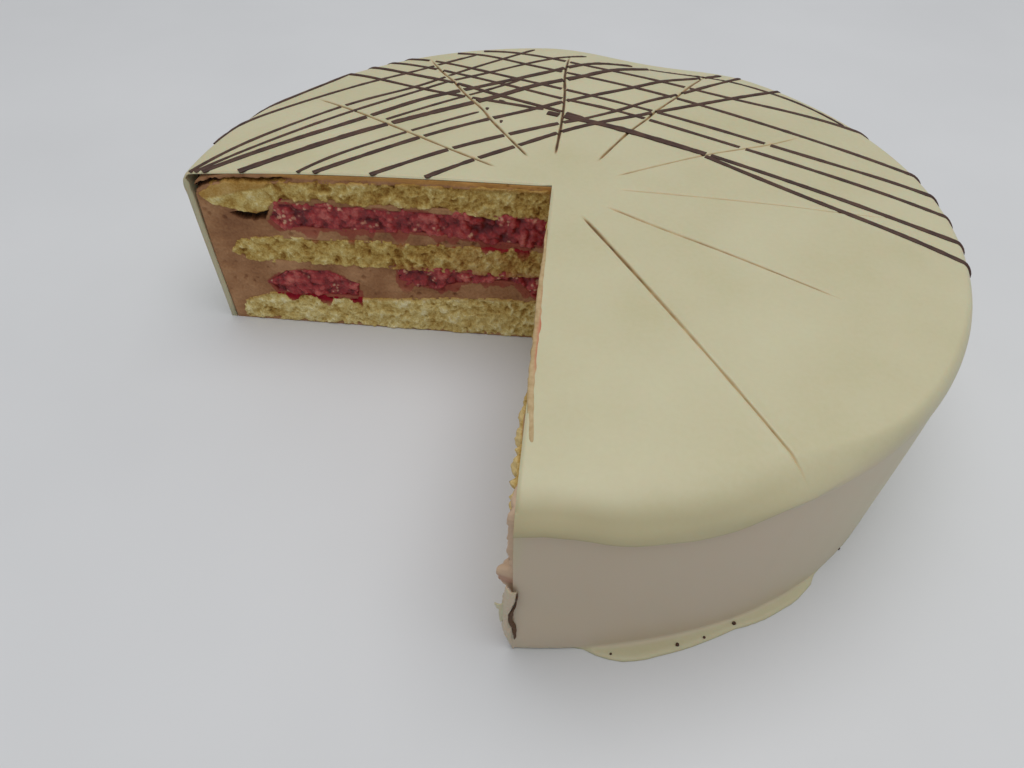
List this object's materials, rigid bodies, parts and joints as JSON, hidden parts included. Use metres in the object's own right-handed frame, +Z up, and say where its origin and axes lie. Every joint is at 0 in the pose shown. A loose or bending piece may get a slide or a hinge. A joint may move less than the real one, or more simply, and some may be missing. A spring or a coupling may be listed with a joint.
{
  "type": "chocolate raspberry cake",
  "caption": "Round glazed layer cake with a quarter cut out: sponge, mousse and raspberry layers show at the cuts, and chocolate strands and portion marks cross the top.",
  "frame": {"origin": "on the cake's axis, in the plane it stands on", "axes": "+Z up; the missing quarter is the one with x < 0 and y < 0, so one cut face looks along -Y and the other along -X"},
  "size_m": [0.2764, 0.276, 0.0728],
  "materials": {
    "glaze": "thin poured white chocolate glaze with dark chocolate strands fused on it, satin sheen",
    "mousse": "airy chocolate mousse",
    "sponge_top": "open golden sponge crumb with a darker crust",
    "sponge_middle": "moist sponge crumb",
    "sponge_bottom": "open golden sponge crumb",
    "raspberry_upper": "moist crushed raspberries",
    "raspberry_lower": "moist crushed raspberries",
    "raspberry_outer": "moist crushed raspberries"
  },
  "bodies": {
    "root": {"glaze": "glaze", "mousse": "mousse", "sponge_top": "sponge_top", "sponge_middle": "sponge_middle", "sponge_bottom": "sponge_bottom", "raspberry_upper": "raspberry_upper", "raspberry_lower": "raspberry_lower", "raspberry_outer": "raspberry_outer"}
  },
  "joints": []
}
